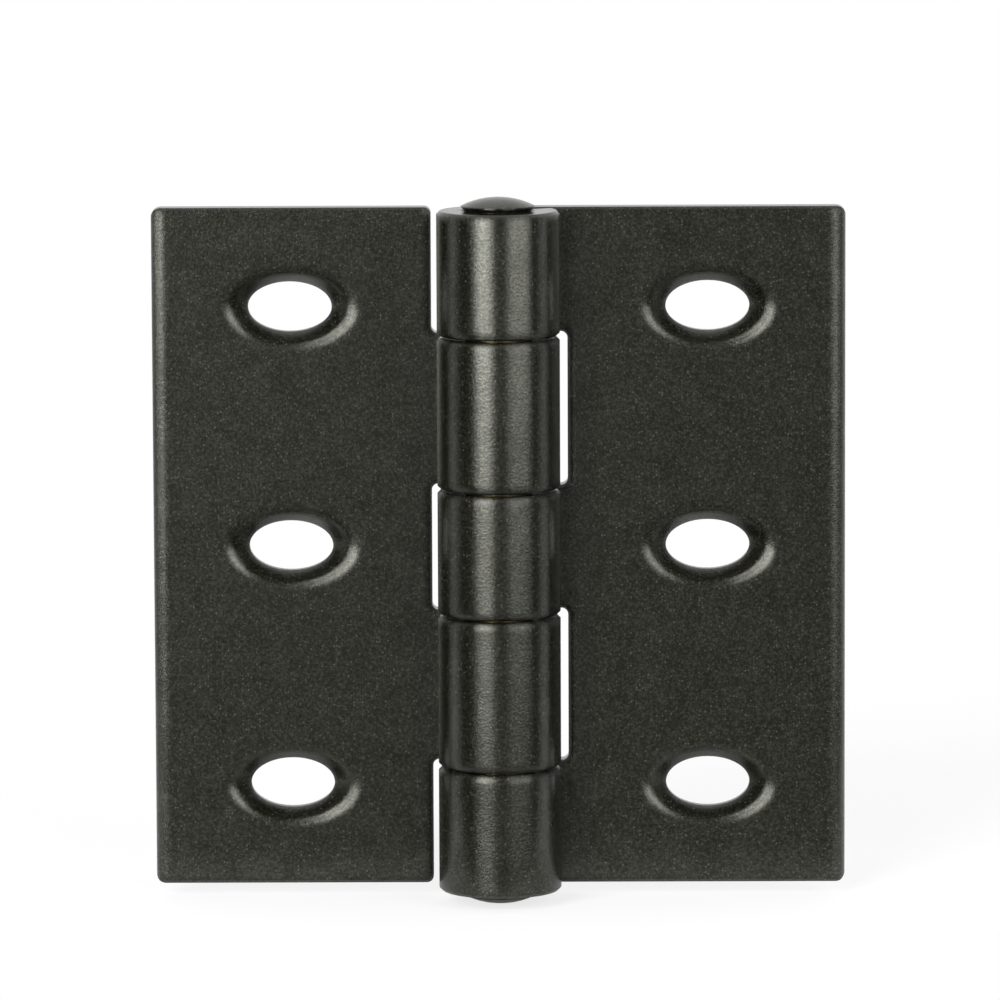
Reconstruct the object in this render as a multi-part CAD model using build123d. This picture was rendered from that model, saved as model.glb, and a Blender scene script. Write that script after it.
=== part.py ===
from build123d import *
import math
import os

# Butt hinge for furniture, laid open flat, in millimetres.
# Two leaves of one sheet thickness are rolled at their edge into knuckles,
# and a pin with a domed head at each end runs through all five.
# The pin's axis is Z through the origin, at mid-height. The leaves lie along X.
# Screws go in from the front, -Y. The flat backs, +Y, meet the wood.

# Sheet
sheet_thickness = 2.0
sheet_edge_break = 0.22

# Leaves
leaf_height = 50.0
leaf_reach = 25.4
leaf_corner_radius = 0.7
notch_corner_radius = 0.5
left_front_edge_round = 0.75
right_front_edge_round = 1.05

# Pin
pin_diameter = 4.9
head_diameter = 5.45
head_lift = 0.35
head_dome_height = 0.65

# Knuckles
bore_clearance = 0.04
end_knuckle_length = 9.1
middle_knuckle_length = 9.1
knuckle_gap = 0.14
left_notch_clearance = 0.45
right_notch_clearance = 0.55
lip_gap = 0.3

# Screw holes, elliptical, each in a pressed dimple for a countersunk head
hole_length = 6.15
hole_width = 3.7
dimple_width = 5.35
dimple_depth = 1.25
dimple_edge_round = 0.55
hole_from_pin = 15.3
hole_spacing = 17.65
hole_count = 3

# Sizes that follow from those above
pin_radius = pin_diameter / 2
bore_radius = pin_radius + bore_clearance
barrel_radius = bore_radius + sheet_thickness
half_height = leaf_height / 2
lip_angle = math.degrees(math.asin((bore_radius - lip_gap) / barrel_radius))
hole_stretch = hole_length / hole_width
cutter_margin = sheet_thickness


def right_knuckle_rows():
    """Bottom and top of each knuckle on the right leaf: both ends and the middle."""
    half_middle = middle_knuckle_length / 2
    end_start = half_height - end_knuckle_length
    return [(-half_height, -end_start), (-half_middle, half_middle), (end_start, half_height)]


def left_knuckle_rows():
    """Bottom and top of each knuckle on the left leaf, in the spaces between the others."""
    right_rows = right_knuckle_rows()
    rows = []
    for below, above in zip(right_rows, right_rows[1:]):
        rows.append((below[1] + knuckle_gap, above[0] - knuckle_gap))
    return rows


def rolled_section():
    """Section of a knuckle across the pin: the sheet rolled round the bore to a free lip."""
    start_angle = 90
    rolled_angle = 360 + lip_angle - start_angle
    outside = CenterArc((0, 0), barrel_radius, start_angle, rolled_angle)
    bore = CenterArc((0, 0), bore_radius, start_angle, rolled_angle)
    lip_end = Line(outside @ 1, bore @ 1)
    plate_side = Line(bore @ 0, outside @ 0)
    return make_face([outside, lip_end, bore, plate_side])


def plate_outline(rows, notch_clearance):
    """Outline of the flat plate from the front, with a tab that leads to each knuckle."""
    notch_floor = barrel_radius + notch_clearance
    plate_width = leaf_reach - notch_floor
    outline = Pos(notch_floor + plate_width / 2, 0) * Rectangle(plate_width, leaf_height)
    for bottom, top in rows:
        outline += Pos(notch_floor / 2, (bottom + top) / 2) * Rectangle(notch_floor, top - bottom)
    outer_corners = outline.vertices().group_by(Axis.X)[-1]
    outline = fillet(outer_corners, leaf_corner_radius)
    notch_corners = outline.vertices().filter_by(lambda corner: math.isclose(corner.X, notch_floor))
    return fillet(notch_corners, notch_corner_radius)


def sharp_edges(solid):
    """Edges where two faces meet at an angle, leaving out those that run on smoothly."""
    smooth_limit = 10
    faces = solid.faces()
    found = ShapeList()
    for edge in solid.edges():
        middle = edge @ 0.5
        beside = [face.normal_at(middle) for face in faces if edge in face.edges()]
        if len(beside) == 2 and beside[0].get_angle(beside[1]) > smooth_limit:
            found.append(edge)
    return found


def dimpled_hole():
    """Cutter for one screw hole: a round dimple and throat, stretched into an ellipse."""
    throat = hole_width / 2
    mouth = dimple_width / 2
    wall_angle = math.atan2(dimple_depth, mouth - throat)
    roll_in = dimple_edge_round * math.tan(wall_angle / 2)
    outside = -cutter_margin
    corner = Vector(mouth, 0)
    start = corner + Vector(roll_in, 0)
    end = corner + Vector(-math.cos(wall_angle), math.sin(wall_angle)) * roll_in
    edge_roll = TangentArc(start, end, tangent=Vector(-1, 0))
    profile = make_face([
        Polyline((0, outside), (start.X, outside), start),
        edge_roll,
        Polyline(end, (throat, dimple_depth), (throat, sheet_thickness + cutter_margin)),
        Polyline((throat, sheet_thickness + cutter_margin), (0, sheet_thickness + cutter_margin), (0, outside)),
    ])
    round_cutter = revolve(profile, Axis.Y)
    return scale(round_cutter, by=(hole_stretch, 1, 1))


def front_edge_cutter(edge_round):
    """What the shear's roll takes off the long outer edge of the front face."""
    block = Pos(leaf_reach, bore_radius, 0) * Box(2 * edge_round, 2 * edge_round, leaf_height + cutter_margin)
    kept = Cylinder(edge_round, leaf_height + 2 * cutter_margin)
    return block - Pos(leaf_reach - edge_round, bore_radius + edge_round, 0) * kept


def leaf(rows, notch_clearance, front_edge_round):
    """One leaf, reaching towards +X from the pin, with its knuckles in the given rows."""
    front_face = Plane(origin=(0, bore_radius, 0), x_dir=(1, 0, 0), z_dir=(0, -1, 0))
    body = extrude(front_face * plate_outline(rows, notch_clearance), amount=-sheet_thickness)
    for bottom, top in rows:
        body += Pos(0, 0, bottom) * extrude(rolled_section(), amount=top - bottom)
    body = chamfer(sharp_edges(body), sheet_edge_break)
    body -= front_edge_cutter(front_edge_round)
    for step in range(hole_count):
        height = (step - (hole_count - 1) / 2) * hole_spacing
        body -= Pos(hole_from_pin, bore_radius, height) * dimpled_hole()
    return body


def hinge_pin():
    """Straight pin with a low dome at each end, a little wider than the bore."""
    head_radius = head_diameter / 2
    rim_height = half_height + head_lift
    crown = rim_height + head_dome_height
    upper_half = make_face([
        Polyline((0, crown), (0, 0), (pin_radius, 0), (pin_radius, half_height), (head_radius, rim_height)),
        ThreePointArc(
            (head_radius, rim_height),
            dome_point(head_radius, rim_height, head_dome_height),
            (0, crown),
        ),
    ])
    upper = revolve(Plane.XZ * upper_half, Axis.Z)
    return upper + mirror(upper, about=Plane.XY)


def dome_point(chord, base, rise):
    """A point halfway along the dome's arc, from its rim to its crown."""
    radius = (chord ** 2 + rise ** 2) / (2 * rise)
    half_angle = math.asin(chord / radius) / 2
    centre = base + rise - radius
    return (radius * math.sin(half_angle), centre + radius * math.cos(half_angle))


right_leaf = leaf(right_knuckle_rows(), right_notch_clearance, right_front_edge_round)
left_half = leaf(left_knuckle_rows(), left_notch_clearance, left_front_edge_round)
left_leaf = mirror(left_half, about=Plane.YZ)
pin = hinge_pin()

os.makedirs("parts", exist_ok=True)
export_step(left_leaf, "parts/left_leaf.step")
export_step(right_leaf, "parts/right_leaf.step")
export_step(pin, "parts/hinge_pin.step")
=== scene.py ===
import math
import bpy
from mathutils import Matrix, Vector


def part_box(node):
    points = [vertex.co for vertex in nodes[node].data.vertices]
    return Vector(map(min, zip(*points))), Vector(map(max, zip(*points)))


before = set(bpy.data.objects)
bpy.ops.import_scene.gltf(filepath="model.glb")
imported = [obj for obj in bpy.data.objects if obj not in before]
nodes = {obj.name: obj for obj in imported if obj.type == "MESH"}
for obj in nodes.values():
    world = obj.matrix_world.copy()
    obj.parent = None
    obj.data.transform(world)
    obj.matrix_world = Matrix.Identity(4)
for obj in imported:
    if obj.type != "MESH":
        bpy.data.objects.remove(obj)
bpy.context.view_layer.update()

# Furniture butt hinge, open flat, dressed in a satin black powder coat with fine pale specks, painted
# into its colour as partly flecks of the coat and partly painted glints of light.
# Every length is in metres, in the frame of the solids: the pin along Z, the front towards -Y.

MM = 0.001
pin_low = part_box("hinge_pin")[0]
leaf_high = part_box("right_leaf")[1]

# The camera looks slightly down on the open hinge from just right of its middle.
CAMERA_TARGET = Vector((0.077, 0.0, 3.79)) * MM
CAMERA_AZIMUTH = math.radians(0.398)
CAMERA_ELEVATION = math.radians(7.422)
CAMERA_ROLL = math.radians(-0.233)
CAMERA_DISTANCE = 579.4 * MM
CAMERA_LENS = 285.66
CAMERA_SENSOR = 36.0
CAMERA_CLIP = (0.01, 20.0)

# Softboxes: azimuth and elevation of the middle as seen from the hinge, then width, height and radiance.
LAMP_DISTANCE = 1.20
LEFT_BOX = {"azimuth": -27, "elevation": 16, "width": 0.64, "height": 0.98, "radiance": 14.6}
RIGHT_BOX = {"azimuth": 40, "elevation": 16, "width": 0.95, "height": 0.98, "radiance": 5.4}

# What reflections see of the studio, along Y of their direction: from, to, value before and value after.
ROOM_BEHIND = (-0.22, 0.0, 0.08, 1.0)
WALL_IN_FRONT = (-0.92, -0.60, 0.38, 0.0)

# The coat runs over the worn edges, and on the pin it covers only the ends.
LEAF_SOFTNESS = 0.85 * MM
PIN_SOFTNESS = 0.25 * MM
BEVEL_SAMPLES = 4
COATED_FROM = leaf_high[2] - 0.3 * MM
PIN_COAT_FADE = 0.02 * MM

# Noise in the finishes. Each row is the size of the features, the detail and the roughness.
CLOUD = (2.4 * MM, 4.0, 0.6)
GRAIN = (0.17 * MM, 3.0, 0.6)
PEEL = (0.17 * MM, 2.0, 0.5)
STEEL_FILM = (1.5 * MM, 3.0, 0.5)

# The coat. Each row of four numbers is from, to, value before and value after.
DOT_SPACING = 0.21 * MM
DOT_RARITY = 0.64
DOT_FADE = (0.12, 0.50, 1.0, 0.0)
GRAIN_TO_SPECKS_AND_GLINTS = (0.40, 0.90, 0.0, 0.50)
GRAIN_TO_SHINE = (0.3, 0.7, 0.38, 0.62)
CLOUD_TO_SHINE = (0.25, 0.75, 0.82, 1.18)
PEEL_DEPTH = 0.02 * MM
PEEL_STRENGTH = 0.34
COAT_BLACK = (0.0016, 0.0017, 0.0006, 1)
# Colour of the pale specks: partly the coat's own flecks, partly painted glints of light.
COAT_SPECK_AND_GLINT = (0.034, 0.032, 0.026, 1)
COAT_TINT = (0.99, 1.0, 0.89, 1)
COAT_ROUGHNESS = 0.20
COAT_IOR = 1.5

# The pin's steel between its coated ends.
STEEL_YELLOW = (0.34, 0.27, 0.10, 1)
STEEL_BROWN = (0.26, 0.22, 0.13, 1)
STEEL_ROUGHNESS = 0.42

# The paper under the hinge. For the camera its share of plain white rises from FLOOR_GLOW to 1 behind it.
FLOOR_CLEARANCE = 0.05 * MM
FLOOR_WIDTH = 0.24
FLOOR_FRONT = 0.012
FLOOR_BACK = 2.5
FLOOR_COLOUR = (0.86, 0.86, 0.86, 1)
FLOOR_GLOW = 0.75
FLOOR_FADE = (0.02, 0.16)
WHITE = (1, 1, 1, 1)


class Tree:
    """Short forms for adding and linking shader nodes."""

    def __init__(self, owner):
        owner.use_nodes = True
        self.nodes = owner.node_tree.nodes
        self.links = owner.node_tree.links
        self.nodes.clear()

    def add(self, kind, inputs=None, **settings):
        node = self.nodes.new("ShaderNode" + kind)
        for name, value in settings.items():
            setattr(node, name, value)
        for name, value in (inputs or {}).items():
            self.feed(node.inputs[name], value)
        return node

    def feed(self, socket, value):
        if isinstance(value, bpy.types.NodeSocket):
            self.links.new(value, socket)
        else:
            socket.default_value = value

    def math(self, operation, first, second=0.0, clamp=False):
        node = self.add("Math", operation=operation, use_clamp=clamp)
        self.feed(node.inputs[0], first)
        self.feed(node.inputs[1], second)
        return node.outputs[0]

    def steps(self, value, low, high, out_low=0.0, out_high=1.0):
        """value taken smoothly from low..high to out_low..out_high."""
        node = self.add("MapRange", interpolation_type="SMOOTHSTEP")
        for index, number in enumerate((value, low, high, out_low, out_high)):
            self.feed(node.inputs[index], number)
        return node.outputs[0]

    def mix_colour(self, share, first, second):
        node = self.add("Mix", data_type="RGBA")
        self.feed(node.inputs["Factor"], share)
        colours = [socket for socket in node.inputs if socket.type == "RGBA"]
        self.feed(colours[0], first)
        self.feed(colours[1], second)
        return next(socket for socket in node.outputs if socket.type == "RGBA")

    def noise(self, place, size, detail, rough):
        """Noise whose features are about size metres across."""
        inputs = {"Vector": place, "Scale": 1 / size, "Detail": detail, "Roughness": rough}
        return self.add("TexNoise", inputs).outputs["Fac"]

    def dots(self, place):
        """Round dots, at most one to a cell, most of them left out and the rest unevenly bright."""
        cells = self.add("TexVoronoi", {"Vector": place, "Scale": 1 / DOT_SPACING})
        chance = self.add("SeparateColor", {"Color": cells.outputs["Color"]}).outputs[0]
        shown = self.steps(chance, DOT_RARITY, 1.0)
        return self.math("MULTIPLY", shown, self.steps(cells.outputs["Distance"], *DOT_FADE))

    def rounded_normal(self, softness):
        """Normal that runs smoothly over an edge, as the coat does."""
        return self.add("Bevel", {"Radius": softness}, samples=BEVEL_SAMPLES).outputs["Normal"]


def coat_shader(tree, place, softness):
    """Satin powder coat: near-black, with fine pale specks in its colour (partly flecks of the coat,
    partly painted glints), an uneven shine and a slight orange peel.
    """
    cloud = tree.noise(place, *CLOUD)
    grain = tree.noise(place, *GRAIN)
    peel = tree.noise(place, *PEEL)

    # Pale specks painted into the base colour: partly flecks of the coat, partly painted glints of light.
    specks_and_glints = tree.math("MAXIMUM", tree.dots(place), tree.steps(grain, *GRAIN_TO_SPECKS_AND_GLINTS))
    tone = tree.mix_colour(specks_and_glints, COAT_BLACK, COAT_SPECK_AND_GLINT)
    shine = tree.math("MULTIPLY", tree.steps(grain, *GRAIN_TO_SHINE), tree.steps(cloud, *CLOUD_TO_SHINE))
    bump = tree.add("Bump", {
        "Strength": PEEL_STRENGTH,
        "Distance": PEEL_DEPTH,
        "Height": peel,
        "Normal": tree.rounded_normal(softness),
    })
    return tree.add("BsdfPrincipled", {
        "Base Color": tone,
        "Roughness": COAT_ROUGHNESS,
        "Specular IOR Level": shine,
        "Specular Tint": COAT_TINT,
        "Normal": bump.outputs["Normal"],
        "IOR": COAT_IOR,
    })


def powder_coat(name):
    """The finish of both leaves."""
    material = bpy.data.materials.new(name)
    tree = Tree(material)
    place = tree.add("TexCoord").outputs["Object"]
    coat = coat_shader(tree, place, LEAF_SOFTNESS)
    tree.add("OutputMaterial", {"Surface": coat.outputs["BSDF"]})
    return material


def pin_steel(name):
    """Yellow-passivated steel inside the knuckles, under the black coat at both domed ends."""
    material = bpy.data.materials.new(name)
    tree = Tree(material)
    place = tree.add("TexCoord").outputs["Object"]
    height = tree.math("ABSOLUTE", tree.add("SeparateXYZ", {"Vector": place}).outputs["Z"])
    coated = tree.steps(height, COATED_FROM - PIN_COAT_FADE, COATED_FROM + PIN_COAT_FADE)
    film = tree.noise(place, *STEEL_FILM)
    steel = tree.add("BsdfPrincipled", {
        "Base Color": tree.mix_colour(film, STEEL_YELLOW, STEEL_BROWN),
        "Metallic": 1.0,
        "Roughness": STEEL_ROUGHNESS,
    })
    coat = coat_shader(tree, place, PIN_SOFTNESS)
    surface = tree.add("MixShader", {0: coated, 1: steel.outputs["BSDF"], 2: coat.outputs["BSDF"]})
    tree.add("OutputMaterial", {"Surface": surface.outputs[0]})
    return material


def dress():
    """Gives each solid its finish."""
    sheet = powder_coat("black_powder_coat")
    pin = pin_steel("coated_pin_steel")
    for name, material in (("right_leaf", sheet), ("left_leaf", sheet), ("hinge_pin", pin)):
        mesh = nodes[name].data
        mesh.materials.clear()
        mesh.materials.append(material)


def background_share(tree):
    """1 for the rays that see the background as it is: from the camera or through a window."""
    path = tree.add("LightPath").outputs
    return tree.math("ADD", path["Is Camera Ray"], path["Is Transmission Ray"], clamp=True)


def make_floor():
    """A white strip of paper under the hinge, just below the pin's lower end."""
    height = pin_low[2] - FLOOR_CLEARANCE
    half = FLOOR_WIDTH / 2
    corners = [(-half, -FLOOR_FRONT), (half, -FLOOR_FRONT), (half, FLOOR_BACK), (-half, FLOOR_BACK)]
    mesh = bpy.data.meshes.new("floor")
    mesh.from_pydata([(x, y, height) for x, y in corners], [], [(0, 1, 2, 3)])
    floor = bpy.data.objects.new("floor", mesh)
    bpy.context.scene.collection.objects.link(floor)
    material = bpy.data.materials.new("floor_paper")
    tree = Tree(material)
    paper = tree.add("BsdfDiffuse", {"Color": FLOOR_COLOUR})
    white = tree.add("Emission", {"Color": WHITE, "Strength": 1.0})
    distance = tree.add("SeparateXYZ", {"Vector": tree.add("TexCoord").outputs["Object"]}).outputs["Y"]
    glow = tree.steps(distance, *FLOOR_FADE, FLOOR_GLOW, 1.0)
    share = tree.math("MULTIPLY", background_share(tree), glow)
    surface = tree.add("MixShader", {0: share, 1: paper.outputs[0], 2: white.outputs[0]})
    tree.add("OutputMaterial", {"Surface": surface.outputs[0]})
    mesh.materials.append(material)


def make_world():
    """White for the camera. In reflections: white behind, a pale wall in front and dark between them."""
    world = bpy.data.worlds.new("studio")
    bpy.context.scene.world = world
    tree = Tree(world)
    direction = tree.add("TexCoord").outputs["Generated"]
    towards_back = tree.add("SeparateXYZ", {"Vector": direction}).outputs["Y"]
    behind = tree.steps(towards_back, *ROOM_BEHIND)
    in_front = tree.steps(towards_back, *WALL_IN_FRONT)
    camera = tree.add("LightPath").outputs["Is Camera Ray"]
    room = tree.math("MAXIMUM", behind, in_front)
    strength = tree.math("MAXIMUM", room, camera)
    light = tree.add("Background", {"Color": WHITE, "Strength": strength})
    tree.add("OutputWorld", {"Surface": light.outputs[0]})


def direction_of(azimuth, elevation):
    """Unit vector from the hinge towards that azimuth, 0 in front and positive to the right."""
    return Vector((
        math.sin(azimuth) * math.cos(elevation),
        -math.cos(azimuth) * math.cos(elevation),
        math.sin(elevation),
    ))


def make_softbox(name, box):
    """A rectangular lamp that faces the hinge."""
    lamp = bpy.data.lights.new(name, "AREA")
    lamp.shape = "RECTANGLE"
    lamp.size = box["width"]
    lamp.size_y = box["height"]
    lamp.energy = box["radiance"] * math.pi * box["width"] * box["height"]
    holder = bpy.data.objects.new(name, lamp)
    bpy.context.scene.collection.objects.link(holder)
    towards = direction_of(math.radians(box["azimuth"]), math.radians(box["elevation"]))
    holder.location = towards * LAMP_DISTANCE
    holder.rotation_euler = towards.to_track_quat("Z", "Y").to_euler()
    holder.visible_camera = False


def make_camera():
    """The photograph's viewpoint."""
    camera = bpy.data.cameras.new("camera")
    camera.sensor_width = CAMERA_SENSOR
    camera.sensor_fit = "HORIZONTAL"
    camera.lens = CAMERA_LENS
    camera.clip_start, camera.clip_end = CAMERA_CLIP
    holder = bpy.data.objects.new("camera", camera)
    bpy.context.scene.collection.objects.link(holder)
    back = direction_of(CAMERA_AZIMUTH, CAMERA_ELEVATION)
    right = Vector((0, 0, 1)).cross(back).normalized()
    up = back.cross(right)
    turned_right = math.cos(CAMERA_ROLL) * right + math.sin(CAMERA_ROLL) * up
    turned_up = math.cos(CAMERA_ROLL) * up - math.sin(CAMERA_ROLL) * right
    axes = Matrix((turned_right, turned_up, back)).transposed()
    holder.matrix_world = Matrix.Translation(CAMERA_TARGET + back * CAMERA_DISTANCE) @ axes.to_4x4()
    bpy.context.scene.camera = holder


dress()
make_floor()
make_world()
make_softbox("left_softbox", LEFT_BOX)
make_softbox("right_softbox", RIGHT_BOX)
make_camera()
bpy.context.scene.view_settings.view_transform = "Standard"
